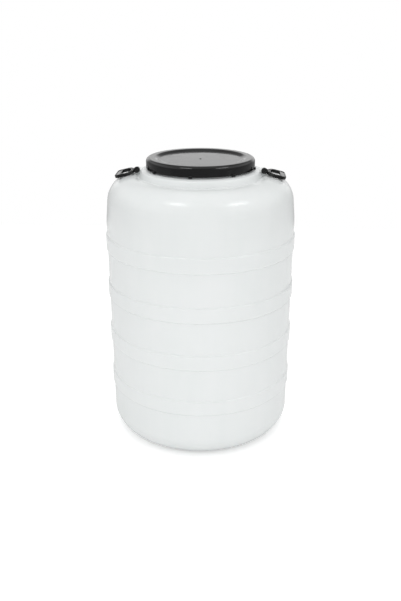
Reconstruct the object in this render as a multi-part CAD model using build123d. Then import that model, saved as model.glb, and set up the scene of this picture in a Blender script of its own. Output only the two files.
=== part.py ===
from build123d import *
import math
import os

# A blow-moulded plastic drum with a wide threaded neck, a screw lid and two swinging
# handles. Millimetres, +Z up, origin at the centre of the base. The handles lie along
# +X and -X, and the front is -Y.

# Drum shell
BODY_HEIGHT = 741.8      # base to the neck's lip
BAND_RADIUS = 250.0      # the widest part of the drum
WALL_RADIUS = 246.9      # the wall just above the top band
WALL_DRAFT = 0.0058      # how much the wall narrows downwards, per mm
WALL_THICKNESS = 3.6
BAND_COUNT = 4
BAND_TOP = 555.5         # top edge of the highest band
BAND_PITCH = 127.8
BAND_HEIGHT = 41.5
BAND_STEP = 2.6          # height over which a band's edge rises
BAND_ROUND = 3.0
BASE_CORNER_RADIUS = 58.0
BASE_DISH = 10.0         # how far the base's centre stands off the ground
DISH_ROUND = 14.0
FOOT_INNER_RADIUS = 138.0
FOOT_SLOPE = 16.0        # radial width of the slope from the foot up to the dish
FOOT_ROUND = 10.0

# Shoulder and collar
SHOULDER_LEAN_START = 592.0
SHOULDER_LEAN_ROUND = 250.0
SHOULDER_TOP = 704.2
SHOULDER_EDGE_RADIUS = 237.4
SHOULDER_CORNER_RADIUS = 66.0
CREASE_RADIUS = 160.5
CREASE_HEIGHT = 700.8
CREASE_SLOPE = 7.0       # radial width of the slope from the shoulder into the crease
CREASE_LIP_ROUND = 9.0
CREASE_ROUND = 2.5
COLLAR_RADIUS = 148.0
COLLAR_TOP = 719.8
COLLAR_FLARE = 5.0       # how much wider the collar is just under its edge
COLLAR_EDGE = 3.0        # height and width of the collar's rounded edge
COLLAR_ROUND = 5.0

# Neck and thread
NECK_RADIUS = 131.0
NECK_ROOT_RISE = 0.8     # how much the collar's top rises to the neck
NECK_ROOT_ROUND = 2.5
LIP_ROUND = 1.2
THREAD_PITCH = 12.0
THREAD_TURNS = 1.0
THREAD_START = 725.6     # height of the neck thread's lower end, at +X
THREAD_ROOT = 5.0        # ridge width where it meets the wall
THREAD_CREST = 2.4       # ridge width at its top
THREAD_BITE = 0.8        # how deep a ridge is sunk in its wall
NECK_THREAD_HEIGHT = 3.2
LID_THREAD_HEIGHT = 4.6
LID_THREAD_ANGLE = 222.0  # degrees from +X to the lid thread's lower end

# Lid
LID_RADIUS = 140.0
LID_TOP = 749.8
LID_BOTTOM = 723.6
LID_EDGE_ROUND = 9.5
RIM_INNER_RADIUS = 117.0  # top of the slope from the rim ring down to the panel
RIM_ROUND = 14.0
PANEL_RADIUS = 105.0      # foot of that slope
PANEL_ROUND = 16.0
PANEL_TOP = 744.4
LID_PLATE = 3.0
UNDERSIDE_SHIFT = 2.0     # how far outside the slope its underside runs
SKIRT_INNER_RADIUS = 137.0
SKIRT_EDGE_ROUND = 0.8
SKIRT_EDGE_FLAT = 1.5
RIM_UNDERSIDE = 746.5
RIM_UNDERSIDE_ROUND = 2.0
PLUG_OUTER_RADIUS = 125.6
PLUG_WALL = 2.2
PLUG_BOTTOM = 736.3
STIFFENER_RADII = (45.0, 80.0)
STIFFENER_HEIGHT = 4.0
STIFFENER_WIDTH = 2.0
LUG_COUNT = 8
LUG_PHASE = 37.5         # degrees of the first lid lug past the front, towards +X
LUG_REACH = 3.5
LUG_ROOT = 1.5           # how deep a lug is sunk in the skirt
LUG_WIDTH = 9.0
LUG_HEIGHT = 6.0
LUG_DROP = 1.8           # how far a lug hangs under the skirt
LUG_ROUND = 1.2
GATE_RADIUS = 2.4
GATE_HEIGHT = 1.0
GATE_ROUND = 0.4

# Gasket
GASKET_INNER_RADIUS = 126.4
GASKET_OUTER_RADIUS = 136.0
GASKET_CLEARANCE = 0.35
GASKET_ROUND = 0.9

# Handle pivots
PIVOT_X = 164.0
PIVOT_Z = 716.4
PIN_RADIUS = 3.0
PIN_CLEARANCE = 0.06
DRUM_LUG_THICKNESS = 8.0
DRUM_LUG_RADIUS = 6.4
DRUM_LUG_ROUND = 1.2
DRUM_LUG_FOOT = 17.0     # width of the lug where it meets the shoulder
DRUM_LUG_DEPTH = 19.0    # from the pivot down into the shoulder
DRUM_LUG_SET_IN = 1.0    # how far the foot stops inside the lug's outer side

# Handles
HANDLE_TILT = 12.8       # degrees below level when the handle lies on the shoulder
HANDLE_LENGTH = 57.0     # pivot to the outer edge
HANDLE_WIDTH = 77.0
HANDLE_NECK_WIDTH = 30.0
HANDLE_NECK_START = 8.0
HANDLE_NECK_ROUND = 5.0
HANDLE_SHOULDER = 21.0   # pivot to the loop's widest part
HANDLE_SHOULDER_ROUND = 15.0
HANDLE_OUTER_DRAW = 3.0  # how much narrower each side is at the outer bar
HANDLE_OUTER_ROUND = 12.0
HANDLE_NECK_TAPER = 0.4  # how far the neck's corners follow an inward offset
BAR_WIDTH = 9.0
GRIP_WIDTH = 15.0        # the loop's outer bar, which the hand holds
BAR_HEIGHT = 8.5
BAR_DROP = 2.25          # the loop's middle plane lies this far under the pivot
BAR_ROUND = 2.0
GROOVE_DEPTH = 1.2
GROOVE_EDGE = 2.9        # width of the rim left on each side of the groove
EAR_THICKNESS = 4.0
EAR_RADIUS = 5.8
EAR_ROUND = 0.6
EAR_ROOT_TRIM = 3.0      # how much less than the bar an ear's root measures
SIDE_GAP = 0.3           # between neighbours along a pin

# Pins and clips
PIN_HEAD_RADIUS = 8.0
PIN_HEAD_HEIGHT = 3.4
PIN_HEAD_ROUND = 1.6
PIN_TIP = 2.0            # how far the pin stands out of its clip
PIN_TIP_CHAMFER = 0.8
RECESS_LENGTH = 8.0
RECESS_WIDTH = 1.8
RECESS_DEPTH = 1.5
CLIP_RADIUS = 5.6
CLIP_THICKNESS = 1.4
CLIP_ROUND = 0.5


def wall_radius(z):
    """Radius of the plain wall at height z, below the shoulder."""
    return WALL_RADIUS - WALL_DRAFT * (BAND_TOP - z)


def base_corners():
    """Corners (radius, height, rounding) from the axis to the foot of the wall."""
    return [
        (0.0, BASE_DISH, 0.0),
        (FOOT_INNER_RADIUS - FOOT_SLOPE, BASE_DISH, DISH_ROUND),
        (FOOT_INNER_RADIUS, 0.0, FOOT_ROUND),
        (wall_radius(0.0), 0.0, BASE_CORNER_RADIUS),
    ]


def band_corners():
    """Corners of the raised bands, from the lowest to the highest."""
    corners = []
    for number in reversed(range(BAND_COUNT)):
        top = BAND_TOP - number * BAND_PITCH
        bottom = top - BAND_HEIGHT
        raised = BAND_RADIUS - WALL_DRAFT * (BAND_TOP - top)
        corners += [
            (wall_radius(bottom), bottom, BAND_ROUND),
            (raised, bottom + BAND_STEP, BAND_ROUND),
            (raised, top - BAND_STEP, BAND_ROUND),
            (wall_radius(top), top, BAND_ROUND),
        ]
    return corners


def shoulder_corners():
    """Corners over the shoulder, down the crease and up the collar to the neck."""
    return [
        (WALL_RADIUS, SHOULDER_LEAN_START, SHOULDER_LEAN_ROUND),
        (SHOULDER_EDGE_RADIUS, SHOULDER_TOP, SHOULDER_CORNER_RADIUS),
        (CREASE_RADIUS + CREASE_SLOPE, SHOULDER_TOP, CREASE_LIP_ROUND),
        (CREASE_RADIUS, CREASE_HEIGHT, CREASE_ROUND),
        (COLLAR_RADIUS + COLLAR_FLARE, COLLAR_TOP - COLLAR_EDGE, COLLAR_ROUND),
        (COLLAR_RADIUS - COLLAR_EDGE, COLLAR_TOP, COLLAR_ROUND),
        (NECK_RADIUS, COLLAR_TOP + NECK_ROOT_RISE, NECK_ROOT_ROUND),
    ]


def offset_corners(corners, distance):
    """Move an outline's corners inwards by a wall thickness, keeping it parallel."""
    moved = []
    for index, (radius, height, rounding) in enumerate(corners):
        before = corners[max(index - 1, 0)]
        after = corners[min(index + 1, len(corners) - 1)]
        heading_in = math.atan2(height - before[1], radius - before[0])
        heading_out = math.atan2(after[1] - height, after[0] - radius)
        if index == 0:
            heading_in = heading_out
        if index == len(corners) - 1:
            heading_out = heading_in
        turn = heading_out - heading_in
        middle = (heading_in + heading_out) / 2
        reach = distance / math.cos(turn / 2)
        change = -distance if turn > 0 else distance
        moved.append((
            max(radius - reach * math.sin(middle), 0.0),
            height + reach * math.cos(middle),
            max(rounding + change, 1.0) if rounding else 0.0,
        ))
    return moved


def solid_of_revolution(corners):
    """Turn an open outline that starts on the axis about Z, closed flat at its end."""
    points = [(radius, height) for radius, height, _ in corners]
    roundings = [rounding for _, _, rounding in corners[1:-1]]
    outline = FilletPolyline(*points, radius=roundings)
    closing = Polyline(points[-1], (0, points[-1][1]), points[0])
    face = make_face(outline.edges() + closing.edges())
    return revolve(Plane.XZ * face, axis=Axis.Z)


def ring(outer, inner, bottom, top):
    """A plain ring about Z."""
    with BuildPart() as part:
        with Locations((0, 0, bottom)):
            up = (Align.CENTER, Align.CENTER, Align.MIN)
            Cylinder(outer, top - bottom, align=up)
            Cylinder(inner, top - bottom, align=up, mode=Mode.SUBTRACT)
    return part.part


def thread_ridge(wall, height, start_angle, start_height):
    """One helical ridge standing outwards (height > 0) or inwards from a wall."""
    foot = -math.copysign(THREAD_BITE, height)
    helix = Helix(THREAD_PITCH, THREAD_PITCH * THREAD_TURNS, wall)
    section = Plane(origin=helix @ 0, x_dir=(1, 0, 0), z_dir=helix % 0)
    with BuildPart() as ridge:
        with BuildSketch(section):
            Polygon(
                (foot, -THREAD_ROOT / 2),
                (height, -THREAD_CREST / 2),
                (height, THREAD_CREST / 2),
                (foot, THREAD_ROOT / 2),
                align=None,
            )
        sweep(path=helix, is_frenet=True)
    return Pos(0, 0, start_height) * Rot(0, 0, start_angle) * ridge.part


def neck_thread():
    """The neck's outside thread."""
    return thread_ridge(NECK_RADIUS, NECK_THREAD_HEIGHT, 0.0, THREAD_START)


def lid_thread():
    """The lid's inside thread, half a pitch under the neck's when the lid is closed."""
    start_height = THREAD_START + THREAD_PITCH * (LID_THREAD_ANGLE / 360.0 - 0.5)
    return thread_ridge(SKIRT_INNER_RADIUS, -LID_THREAD_HEIGHT, LID_THREAD_ANGLE, start_height)


def handle_lug(side):
    """The moulded lug that holds a handle's pin, rooted in the shoulder."""
    foot_outer = PIVOT_X + DRUM_LUG_RADIUS - DRUM_LUG_SET_IN
    with BuildPart() as lug:
        with BuildSketch(Plane.XZ):
            with Locations((PIVOT_X, PIVOT_Z)):
                Circle(DRUM_LUG_RADIUS)
            with Locations((foot_outer - DRUM_LUG_FOOT / 2, PIVOT_Z - DRUM_LUG_DEPTH)):
                Rectangle(DRUM_LUG_FOOT, 2)
            make_hull()
        extrude(amount=DRUM_LUG_THICKNESS / 2, both=True)
        fillet(lug.faces().filter_by(Axis.Y).edges(), DRUM_LUG_ROUND)
    return mirror_to(side, lug.part)


def pin_hole(side, radius):
    """A bar along Y through a handle's pivot, used to cut its hole."""
    with BuildPart() as bar:
        with Locations((PIVOT_X, 0, PIVOT_Z)):
            Cylinder(radius, HANDLE_WIDTH, rotation=(90, 0, 0))
    return mirror_to(side, bar.part)


def mirror_to(side, part):
    """Keep a part on the +X side, or mirror it to the -X side."""
    return part if side > 0 else mirror(part, about=Plane.YZ)


def make_drum_body():
    """The hollow shell, open at the neck, with its thread and its two handle lugs."""
    skin = base_corners() + band_corners() + shoulder_corners()
    outside = solid_of_revolution(skin + [(NECK_RADIUS, BODY_HEIGHT, 0.0)])
    cavity = solid_of_revolution(
        offset_corners(skin + [(NECK_RADIUS, BODY_HEIGHT + 10.0, 0.0)], WALL_THICKNESS)
    )
    body = outside + neck_thread()
    for side in (1, -1):
        body += handle_lug(side)
    body -= cavity
    for side in (1, -1):
        body -= pin_hole(side, PIN_RADIUS + PIN_CLEARANCE)
    lip = body.edges().group_by(Axis.Z)[-1]
    return fillet(lip, LIP_ROUND)


def make_lid_blank():
    """The lid's turned shape: rolled edge, rim ring, sunk panel, skirt and plug ring."""
    outside = solid_of_revolution([
        (0.0, PANEL_TOP, 0.0),
        (PANEL_RADIUS, PANEL_TOP, PANEL_ROUND),
        (RIM_INNER_RADIUS, LID_TOP, RIM_ROUND),
        (LID_RADIUS, LID_TOP, LID_EDGE_ROUND),
        (LID_RADIUS, LID_BOTTOM, SKIRT_EDGE_ROUND),
        (LID_RADIUS - SKIRT_EDGE_FLAT, LID_BOTTOM, 0.0),
    ])
    hollow = solid_of_revolution([
        (0.0, PANEL_TOP - LID_PLATE, 0.0),
        (PANEL_RADIUS + UNDERSIDE_SHIFT, PANEL_TOP - LID_PLATE, RIM_UNDERSIDE_ROUND),
        (RIM_INNER_RADIUS + UNDERSIDE_SHIFT, RIM_UNDERSIDE, RIM_UNDERSIDE_ROUND),
        (SKIRT_INNER_RADIUS, RIM_UNDERSIDE, RIM_UNDERSIDE_ROUND),
        (SKIRT_INNER_RADIUS, LID_BOTTOM - 1.0, 0.0),
    ])
    blank = outside - hollow
    blank += ring(PLUG_OUTER_RADIUS, PLUG_OUTER_RADIUS - PLUG_WALL, PLUG_BOTTOM, RIM_UNDERSIDE + 1)
    underside = PANEL_TOP - LID_PLATE
    for radius in STIFFENER_RADII:
        outer = radius + STIFFENER_WIDTH / 2
        blank += ring(outer, outer - STIFFENER_WIDTH, underside - STIFFENER_HEIGHT, underside + 1)
    return blank


def make_screw_lid():
    """The screw lid: the turned blank, its inside thread, its edge lugs and gate mark."""
    lid = make_lid_blank()
    lid += lid_thread()
    for number in range(LUG_COUNT):
        angle = -90.0 + LUG_PHASE + number * 360.0 / LUG_COUNT
        lid += Rot(0, 0, angle) * make_lid_lug()
    with BuildPart() as gate:
        with Locations((0, 0, PANEL_TOP)):
            Cylinder(GATE_RADIUS, 2 * GATE_HEIGHT)
        fillet(gate.faces().sort_by(Axis.Z)[-1].edges(), GATE_ROUND)
    return lid + gate.part


def make_lid_lug():
    """One small lug on the skirt's lower edge, at +X."""
    depth = LUG_REACH + LUG_ROOT
    middle = LID_BOTTOM - LUG_DROP + LUG_HEIGHT / 2
    with BuildPart() as lug:
        with Locations((LID_RADIUS + LUG_REACH - depth / 2, 0, middle)):
            Box(depth, LUG_WIDTH, LUG_HEIGHT)
        outer = lug.faces().sort_by(Axis.X)[-1]
        fillet(outer.edges(), LUG_ROUND)
    return lug.part


def make_lid_gasket():
    """The flat seal between the neck's lip and the lid's rim."""
    seal = ring(
        GASKET_OUTER_RADIUS,
        GASKET_INNER_RADIUS,
        BODY_HEIGHT + GASKET_CLEARANCE,
        RIM_UNDERSIDE - GASKET_CLEARANCE,
    )
    return fillet(seal.edges(), GASKET_ROUND)


def handle_outline(inset, grip_inset):
    """Outline of the loop in its own plane, drawn inwards by inset, and by grip_inset at the grip."""
    inner = HANDLE_NECK_START + inset
    outer = HANDLE_LENGTH - grip_inset
    half = HANDLE_WIDTH / 2 - inset
    neck = HANDLE_NECK_WIDTH / 2 - inset * HANDLE_NECK_TAPER
    corner = HANDLE_SHOULDER + inset * HANDLE_NECK_TAPER
    points = [(inner, neck), (corner, half), (outer, half - HANDLE_OUTER_DRAW)]
    mirrored = [(x, -y) for x, y in reversed(points)]
    roundings = [HANDLE_NECK_ROUND, HANDLE_SHOULDER_ROUND - inset, HANDLE_OUTER_ROUND - inset]
    closed = FilletPolyline(
        *(points + mirrored), radius=roundings + roundings[::-1], close=True
    )
    return make_face(closed.edges())


def make_handle_level():
    """A handle drawn level, its pivot on the Y axis and its loop towards +X."""
    loop = handle_outline(0.0, 0.0) - handle_outline(BAR_WIDTH, GRIP_WIDTH)
    groove = handle_outline(GROOVE_EDGE, GROOVE_EDGE)
    groove -= handle_outline(BAR_WIDTH - GROOVE_EDGE, GRIP_WIDTH - GROOVE_EDGE)
    middle = -BAR_DROP
    body = extrude(Pos(0, 0, middle - BAR_HEIGHT / 2) * loop, amount=BAR_HEIGHT)
    rims = body.faces().filter_by(Axis.Z).edges()
    body = fillet(rims, BAR_ROUND)
    body -= extrude(Pos(0, 0, middle + BAR_HEIGHT / 2) * groove, amount=-GROOVE_DEPTH)
    for direction in (1, -1):
        body += make_ear(direction)
    with BuildPart() as bore:
        Cylinder(PIN_RADIUS + PIN_CLEARANCE, HANDLE_WIDTH, rotation=(90, 0, 0))
    return body - bore.part


def make_ear(direction):
    """One ear of a handle, reaching from the loop to its eye round the pin."""
    inner_face = DRUM_LUG_THICKNESS / 2 + SIDE_GAP
    with BuildPart() as ear:
        with BuildSketch(Plane.XZ.offset(-direction * (inner_face + EAR_THICKNESS / 2))):
            Circle(EAR_RADIUS)
            with Locations((HANDLE_NECK_START + BAR_WIDTH / 2, -BAR_DROP)):
                Rectangle(BAR_WIDTH - EAR_ROOT_TRIM, BAR_HEIGHT - EAR_ROOT_TRIM)
            make_hull()
        extrude(amount=EAR_THICKNESS / 2, both=True)
        fillet(ear.faces().filter_by(Axis.Y).edges(), EAR_ROUND)
    return ear.part


def make_handle(side):
    """A handle in its rest pose, lying along the shoulder."""
    tilted = Rot(0, HANDLE_TILT, 0) * make_handle_level()
    return mirror_to(side, Pos(PIVOT_X, 0, PIVOT_Z) * tilted)


def make_pin(side):
    """A pivot pin along Y: domed head with a cross recess in front, plain tip behind."""
    ear_face = DRUM_LUG_THICKNESS / 2 + SIDE_GAP + EAR_THICKNESS
    head_seat = -(ear_face + SIDE_GAP)
    tip = ear_face + SIDE_GAP + CLIP_THICKNESS + PIN_TIP
    towards_back = Plane(origin=(PIVOT_X, head_seat, PIVOT_Z), x_dir=(1, 0, 0), z_dir=(0, 1, 0))
    with BuildPart() as pin:
        with BuildSketch(towards_back):
            Circle(PIN_RADIUS)
        extrude(amount=tip - head_seat)
        chamfer(pin.faces().sort_by(Axis.Y)[-1].edges(), PIN_TIP_CHAMFER)
        with BuildSketch(towards_back):
            Circle(PIN_HEAD_RADIUS)
        extrude(amount=-PIN_HEAD_HEIGHT)
        front = pin.faces().sort_by(Axis.Y)[0]
        fillet(front.edges(), PIN_HEAD_ROUND)
        with BuildSketch(towards_back.offset(-PIN_HEAD_HEIGHT)):
            Rectangle(RECESS_LENGTH, RECESS_WIDTH, rotation=45)
            Rectangle(RECESS_LENGTH, RECESS_WIDTH, rotation=-45)
        extrude(amount=RECESS_DEPTH, mode=Mode.SUBTRACT)
    return mirror_to(side, pin.part)


def make_clip(side):
    """The push-on clip that holds a pin's far end."""
    seat = DRUM_LUG_THICKNESS / 2 + SIDE_GAP + EAR_THICKNESS + SIDE_GAP
    plane = Plane(origin=(PIVOT_X, seat, PIVOT_Z), x_dir=(1, 0, 0), z_dir=(0, 1, 0))
    with BuildPart() as clip:
        with BuildSketch(plane):
            Circle(CLIP_RADIUS)
            Circle(PIN_RADIUS + PIN_CLEARANCE / 2, mode=Mode.SUBTRACT)
        extrude(amount=CLIP_THICKNESS)
        outer = clip.edges().filter_by(GeomType.CIRCLE).sort_by(Axis.Y).group_by(SortBy.RADIUS)[-1]
        fillet(outer, CLIP_ROUND)
    return mirror_to(side, clip.part)


def main():
    """Build every piece and write one STEP file for each."""
    pieces = {
        "drum_body": make_drum_body(),
        "screw_lid": make_screw_lid(),
        "lid_gasket": make_lid_gasket(),
    }
    for name, side in (("right", 1), ("left", -1)):
        pieces["handle_" + name] = make_handle(side)
        pieces["handle_pin_" + name] = make_pin(side)
        pieces["pin_clip_" + name] = make_clip(side)
    os.makedirs("parts", exist_ok=True)
    for name, piece in pieces.items():
        export_step(piece, os.path.join("parts", name + ".step"))


main()
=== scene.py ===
import math

import bpy
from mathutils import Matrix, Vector

# The drum's materials, dressed on the CAD's own pieces, and the studio it stands in.

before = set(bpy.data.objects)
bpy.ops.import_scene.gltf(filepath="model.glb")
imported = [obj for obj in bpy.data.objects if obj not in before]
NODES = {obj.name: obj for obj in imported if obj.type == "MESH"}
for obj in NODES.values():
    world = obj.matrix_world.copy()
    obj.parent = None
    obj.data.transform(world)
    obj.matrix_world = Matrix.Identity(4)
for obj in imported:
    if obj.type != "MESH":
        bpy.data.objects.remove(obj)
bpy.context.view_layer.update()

SCENE = bpy.context.scene

# Sockets of the Mix node that share a name and can only be told apart by number
MIX_FACTOR = 0
MIX_FLOATS = (2, 3)
MIX_COLORS = (6, 7)
MIX_COLOR_RESULT = 2

# Camera, in metres and degrees
CAMERA_DISTANCE = 1.8934   # from the drum's axis, along the floor
CAMERA_HEIGHT = 1.0917
CAMERA_PITCH = 21.307      # below level
CAMERA_AZIMUTH = 2.6       # from the front towards the right
LENS = 44.06
SENSOR_WIDTH = 36.0

# The room is a level of light for each direction, where 1 is white. A pair gives where a part of
# the room starts and ends, along X, Y or Z of a direction that is 1 long.

# The room as matt light finds it
MATT_LEVEL = 0.925
MATT_OVERHEAD = 0.26       # added straight above
MATT_ASIDE = -0.40         # added at the far left and right
OVERHEAD_RISE = (0.30, 1.00)
ASIDE_RISE = (0.40, 0.95)

# The room as reflections find it: dark, with pale parts added behind, overhead and at the sides
GLOSS_LEVEL = 0.34
GLOSS_WALL = 0.74
GLOSS_ZENITH = 0.50
GLOSS_FLANK = 0.70
WALL_SIDES = (0.75, 0.92)
WALL_CEILING = (0.27, 0.36)
WALL_HORIZON = (-0.06, 0.04)
ZENITH_FOOT = (0.75, 0.95)
FLANK_SIDES = (0.35, 0.80)
FLANK_FOOT = (0.15, 0.45)

# Area lights: name, azimuth, elevation, width, height, radiance, and what they light
SOFTBOX_DISTANCE = 3.0
SOFTBOX_TARGET = Vector((0, 0, 0.65))   # inside the drum's shoulder
SOFTBOXES = (
    ("softbox_left", -38, 55, 1.05, 0.40, 7.5, "gloss"),
    ("softbox_right", 60, 49, 1.05, 0.40, 8.0, "gloss"),
    ("fill", 0, -4, 2.0, 1.0, 1.3, "matt"),
)

# Floor, in metres, and the glow the camera sees on it
FLOOR_BACK = 2.0
FLOOR_FRONT = -1.5
FLOOR_HALF_WIDTH = 3.0
FLOOR_GLOW = 0.32
FLOOR_SHADES = ((0.90, 0.90, 0.90, 1), (0.92, 0.92, 0.92, 1))

WHITE = (1, 1, 1, 1)


def opaque(red, green, blue):
    """A linear colour with full alpha."""
    return (red, green, blue, 1)


class Nodes:
    """Short calls for building a node tree."""

    def __init__(self, tree):
        self.tree = tree

    def set(self, node, socket, value):
        """Links an output socket to an input, or sets the input to a plain value."""
        if isinstance(value, bpy.types.NodeSocket):
            self.tree.links.new(value, node.inputs[socket])
        else:
            node.inputs[socket].default_value = value

    def node(self, kind, inputs, **settings):
        """Adds a node, changes its settings, and sets or links its inputs."""
        made = self.tree.nodes.new("ShaderNode" + kind)
        for key, value in settings.items():
            setattr(made, key, value)
        for socket, value in inputs.items():
            self.set(made, socket, value)
        return made

    def math(self, operation, first, second=0.0):
        made = self.node("Math", {}, operation=operation)
        self.set(made, 0, first)
        self.set(made, 1, second)
        return made.outputs[0]

    def ramp(self, value, start, end, low, high, smooth=False):
        """Maps start..end onto low..high, held at both ends."""
        kind = "SMOOTHSTEP" if smooth else "LINEAR"
        made = self.node("MapRange", {"Value": value, "From Min": start, "From Max": end,
                                      "To Min": low, "To Max": high}, interpolation_type=kind)
        return made.outputs["Result"]

    def rise(self, value, span, high=1.0):
        """Rises smoothly from 0 to high over a (start, end) span."""
        return self.ramp(value, span[0], span[1], 0.0, high, smooth=True)

    def fall(self, value, span):
        """Falls smoothly from 1 to 0 over a (start, end) span."""
        return self.ramp(value, span[0], span[1], 1.0, 0.0, smooth=True)


class Shader(Nodes):
    """A Principled material whose inputs are built from procedural textures in object space."""

    def __init__(self, name, **sockets):
        self.material = bpy.data.materials.new(name)
        self.material.use_nodes = True
        super().__init__(self.material.node_tree)
        self.bsdf = self.tree.nodes["Principled BSDF"]
        self.coords = self.tree.nodes.new("ShaderNodeTexCoord").outputs["Object"]
        for socket, value in sockets.items():
            self.feed(socket.replace("_", " "), value)

    def feed(self, socket, value):
        """Sets or links one of the shader's own inputs."""
        self.set(self.bsdf, socket, value)

    def noise(self, scale, detail=3.0, stretch=(1, 1, 1), distortion=0.0):
        """Noise from 0 to 1; scale is in features per metre, stretch multiplies it along each axis."""
        mapping = self.node("Mapping", {"Vector": self.coords, "Scale": stretch})
        made = self.node("TexNoise", {"Vector": mapping.outputs["Vector"], "Scale": scale,
                                      "Detail": detail, "Roughness": 0.55, "Distortion": distortion})
        return made.outputs["Fac"]

    def spread(self, value, low, high, start=0.3, end=0.7):
        """Maps a texture's middle range onto low..high."""
        return self.ramp(value, start, end, low, high)

    def blend(self, factor, first, second):
        """Mixes two colours."""
        made = self.node("Mix", {}, data_type="RGBA")
        self.set(made, MIX_FACTOR, factor)
        self.set(made, MIX_COLORS[0], first)
        self.set(made, MIX_COLORS[1], second)
        return made.outputs[MIX_COLOR_RESULT]

    def bump(self, *layers):
        """Stacks bump layers, each (height texture, depth in metres), and feeds the shader's normal."""
        normal = None
        for height, depth in layers:
            made = self.node("Bump", {"Height": height, "Distance": depth, "Strength": 1.0})
            if normal is not None:
                self.set(made, "Normal", normal)
            normal = made.outputs["Normal"]
        self.feed("Normal", normal)


def natural_polyethylene():
    """Milky blow-moulded polyethylene: faint vertical streaks, clouding, orange peel and gentle waves."""
    shader = Shader("natural_hdpe", IOR=1.5, Subsurface_Weight=0.08, Subsurface_Scale=0.008,
                    Subsurface_Radius=(1.0, 1.0, 1.0))
    clouds = shader.noise(7.0, detail=4.0, stretch=(1, 1, 0.5), distortion=0.4)
    streaks = shader.noise(38.0, detail=4.0, stretch=(1, 1, 0.035))
    specks = shader.noise(900.0, detail=2.0)
    peel = shader.noise(420.0, detail=2.0)
    waves = shader.noise(5.5, detail=1.0, stretch=(1, 1, 0.8))
    base = shader.blend(shader.spread(clouds, 0, 1), opaque(0.830, 0.862, 0.856), opaque(0.860, 0.884, 0.882))
    base = shader.blend(shader.spread(streaks, 0, 0.25), base, opaque(0.895, 0.905, 0.908))
    dirt = shader.spread(specks, 0, 0.12, start=0.62, end=0.75)
    shader.feed("Base Color", shader.blend(dirt, base, opaque(0.70, 0.71, 0.69)))
    cloudy = shader.spread(clouds, 0.21, 0.25)
    shader.feed("Roughness", shader.math("ADD", cloudy, shader.spread(specks, -0.02, 0.03)))
    shader.bump((waves, 0.0022), (streaks, 0.00012), (peel, 0.00004), (specks, 0.00001))
    return shader.material


def black_plastic(name, shade, roughness, grain, scuffs):
    """Moulded black plastic with a fine grain, slight sink marks and hair-fine scuffs.

    Its shade is the base colour's level, grain is in features per metre, and scuffs is their strength."""
    shader = Shader(name, IOR=1.47)
    cloud = shader.noise(26.0, detail=4.0, distortion=0.6)
    fine = shader.noise(1500.0, detail=3.0)
    scratch = shader.noise(120.0, detail=6.0, stretch=(1, 0.06, 1), distortion=1.8)
    worn = shader.spread(scratch, 0, scuffs, start=0.66, end=0.70)
    dark = opaque(0.78 * shade, 0.78 * shade, 0.80 * shade)
    light = opaque(1.25 * shade, 1.25 * shade, 1.32 * shade)
    base = shader.blend(shader.spread(cloud, 0, 1), dark, light)
    shader.feed("Base Color", shader.blend(worn, base, opaque(0.07, 0.07, 0.075)))
    cloudy = shader.spread(cloud, roughness - 0.04, roughness + 0.05)
    rough = shader.math("ADD", cloudy, shader.spread(fine, -0.02, 0.03))
    shader.feed("Roughness", shader.math("ADD", rough, shader.math("MULTIPLY", worn, 0.25)))
    shader.bump((cloud, 0.00010), (shader.noise(grain, detail=3.0), 0.000030), (fine, 0.000006))
    return shader.material


def foam_rubber():
    """The seal's matt black foam, with open pores whose insides are painted darker as shade."""
    shader = Shader("seal_rubber", IOR=1.45)
    pores = shader.noise(1400.0, detail=4.0)
    cloud = shader.noise(60.0, detail=3.0)
    base = shader.blend(shader.spread(cloud, 0, 1), opaque(0.10, 0.10, 0.105), opaque(0.15, 0.15, 0.155))
    # Painted shade: where the pore bump sinks, the foam is coloured darker, as shadow inside the holes.
    painted_pore_shade = shader.spread(pores, 0.6, 0.0, start=0.3, end=0.45)
    shader.feed("Base Color", shader.blend(painted_pore_shade, base, opaque(0.04, 0.04, 0.042)))
    shader.feed("Roughness", shader.spread(cloud, 0.78, 0.92))
    shader.bump((pores, 0.00008))
    return shader.material


def zinc_steel():
    """The clips' zinc-plated steel, lightly brushed."""
    shader = Shader("clip_steel", Metallic=1.0)
    cloud = shader.noise(220.0, detail=4.0)
    brush = shader.noise(900.0, detail=4.0, stretch=(1, 1, 0.05))
    base = shader.blend(shader.spread(cloud, 0, 1), opaque(0.50, 0.50, 0.51), opaque(0.62, 0.62, 0.60))
    shader.feed("Base Color", base)
    cloudy = shader.spread(cloud, 0.28, 0.40)
    shader.feed("Roughness", shader.math("ADD", cloudy, shader.spread(brush, -0.03, 0.05)))
    shader.bump((brush, 0.00001))
    return shader.material


def dress(material, *nodes):
    """Gives CAD pieces, by node name, one material."""
    for name in nodes:
        node = NODES[name]
        node.data.materials.clear()
        node.data.materials.append(material)


def add_camera():
    """The camera, at the front and a little to the right, looking down on the lid."""
    data = bpy.data.cameras.new("camera")
    data.lens = LENS
    data.sensor_width = SENSOR_WIDTH
    camera = bpy.data.objects.new("camera", data)
    turn = math.radians(CAMERA_AZIMUTH)
    camera.location = (
        CAMERA_DISTANCE * math.sin(turn),
        -CAMERA_DISTANCE * math.cos(turn),
        CAMERA_HEIGHT,
    )
    camera.rotation_euler = (math.radians(90 - CAMERA_PITCH), 0, turn)
    SCENE.collection.objects.link(camera)
    SCENE.camera = camera


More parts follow.
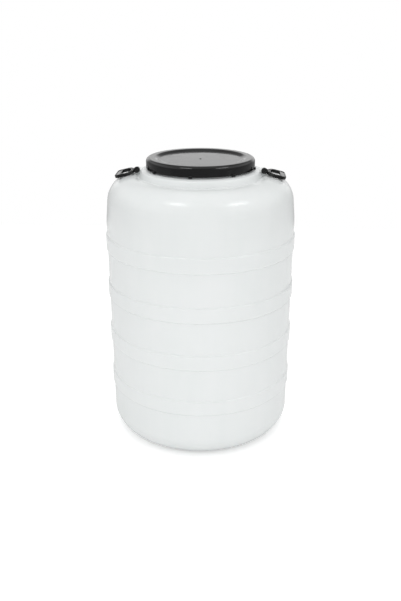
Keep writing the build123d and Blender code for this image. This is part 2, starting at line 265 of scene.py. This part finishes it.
def add_softbox(name, azimuth, elevation, width, height, radiance, lights):
    """A rectangular area light aimed at the drum's shoulder, azimuth 0 at the front, 90 at the right.

    It either gives reflections (lights="gloss") or fills the shade without showing in them ("matt")."""
    data = bpy.data.lights.new(name, "AREA")
    data.shape = "RECTANGLE"
    data.size = width
    data.size_y = height
    data.energy = radiance * math.pi * width * height
    light = bpy.data.objects.new(name, data)
    turn = math.radians(azimuth)
    rise = math.radians(elevation)
    out = Vector((math.sin(turn) * math.cos(rise), -math.cos(turn) * math.cos(rise), math.sin(rise)))
    light.location = SOFTBOX_TARGET + out * SOFTBOX_DISTANCE
    light.rotation_euler = out.to_track_quat("Z", "Y").to_euler()
    light.visible_camera = False
    light.visible_diffuse = lights == "matt"
    light.visible_glossy = lights == "gloss"
    SCENE.collection.objects.link(light)


def matt_level(nodes, axis):
    """What matt light gets from a direction: even, brighter overhead and darker at the sides."""
    overhead = nodes.rise(axis["Z"], OVERHEAD_RISE, MATT_OVERHEAD)
    aside = nodes.rise(nodes.math("ABSOLUTE", axis["X"]), ASIDE_RISE, MATT_ASIDE)
    return nodes.math("ADD", nodes.math("ADD", overhead, aside), MATT_LEVEL)


def gloss_level(nodes, axis):
    """What reflections see: a dark room with a pale wall behind the drum, from the horizon up to a
    low dark ceiling, a paler zenith, and pale flanks high up at the left and right."""
    behind = nodes.rise(axis["Y"], WALL_SIDES)
    ceiling = nodes.fall(axis["Z"], WALL_CEILING)
    horizon = nodes.rise(axis["Z"], WALL_HORIZON)
    wall = nodes.math("MULTIPLY", nodes.math("MULTIPLY", behind, ceiling), horizon)
    flank = nodes.rise(nodes.math("ABSOLUTE", axis["X"]), FLANK_SIDES, GLOSS_FLANK)
    raised = nodes.math("MULTIPLY", flank, nodes.rise(axis["Z"], FLANK_FOOT))
    zenith = nodes.rise(axis["Z"], ZENITH_FOOT, GLOSS_ZENITH)
    above = nodes.math("ADD", nodes.math("MULTIPLY", wall, GLOSS_WALL), zenith)
    return nodes.math("ADD", above, nodes.math("ADD", raised, GLOSS_LEVEL))


def add_world():
    """The studio room: white to the camera, with a level for matt light and one for reflections."""
    world = bpy.data.worlds.new("white_room")
    SCENE.world = world
    world.use_nodes = True
    nodes = Nodes(world.node_tree)
    nodes.tree.nodes.clear()
    direction = nodes.node("TexCoord", {}).outputs["Generated"]
    axis = nodes.node("SeparateXYZ", {"Vector": direction}).outputs
    path = nodes.node("LightPath", {}).outputs
    level = nodes.node("Mix", {}, data_type="FLOAT")
    nodes.set(level, MIX_FACTOR, path["Is Glossy Ray"])
    nodes.set(level, MIX_FLOATS[0], matt_level(nodes, axis))
    nodes.set(level, MIX_FLOATS[1], gloss_level(nodes, axis))
    room = nodes.node("Background", {"Color": WHITE, "Strength": level.outputs[0]})
    seen = nodes.node("Background", {"Color": WHITE})
    shown = nodes.node("MixShader", {0: path["Is Camera Ray"], 1: room.outputs[0], 2: seen.outputs[0]})
    nodes.node("OutputWorld", {"Surface": shown.outputs[0]})


def add_floor():
    """A pale matt floor, which glows a little to the camera so that only the contact shadow shows."""
    mesh = bpy.data.meshes.new("floor")
    corners = [
        (-FLOOR_HALF_WIDTH, FLOOR_FRONT, 0),
        (FLOOR_HALF_WIDTH, FLOOR_FRONT, 0),
        (FLOOR_HALF_WIDTH, FLOOR_BACK, 0),
        (-FLOOR_HALF_WIDTH, FLOOR_BACK, 0),
    ]
    mesh.from_pydata(corners, [], [(0, 1, 2, 3)])
    floor = bpy.data.objects.new("floor", mesh)
    SCENE.collection.objects.link(floor)
    shader = Shader("studio_floor", Emission_Color=WHITE)
    seen = shader.node("LightPath", {}).outputs["Is Camera Ray"]
    shader.feed("Emission Strength", shader.math("MULTIPLY", seen, FLOOR_GLOW))
    cloud = shader.noise(1.5, detail=3.0)
    shader.feed("Base Color", shader.blend(shader.spread(cloud, 0, 1), *FLOOR_SHADES))
    shader.feed("Roughness", shader.spread(shader.noise(40.0), 0.7, 0.85))
    mesh.materials.append(shader.material)


dress(natural_polyethylene(), "drum_body")
lid_plastic = black_plastic("black_lid", shade=0.005, roughness=0.11, grain=700.0, scuffs=0.15)
dress(lid_plastic, "screw_lid")
handle_plastic = black_plastic("black_handle", shade=0.003, roughness=0.15, grain=500.0, scuffs=0.20)
dress(handle_plastic, "handle_right", "handle_left")
pin_plastic = black_plastic("black_pin", shade=0.003, roughness=0.17, grain=500.0, scuffs=0.20)
dress(pin_plastic, "handle_pin_right", "handle_pin_left")
dress(foam_rubber(), "lid_gasket")
dress(zinc_steel(), "pin_clip_right", "pin_clip_left")

add_camera()
add_world()
for softbox in SOFTBOXES:
    add_softbox(*softbox)
add_floor()
SCENE.view_settings.view_transform = "Standard"
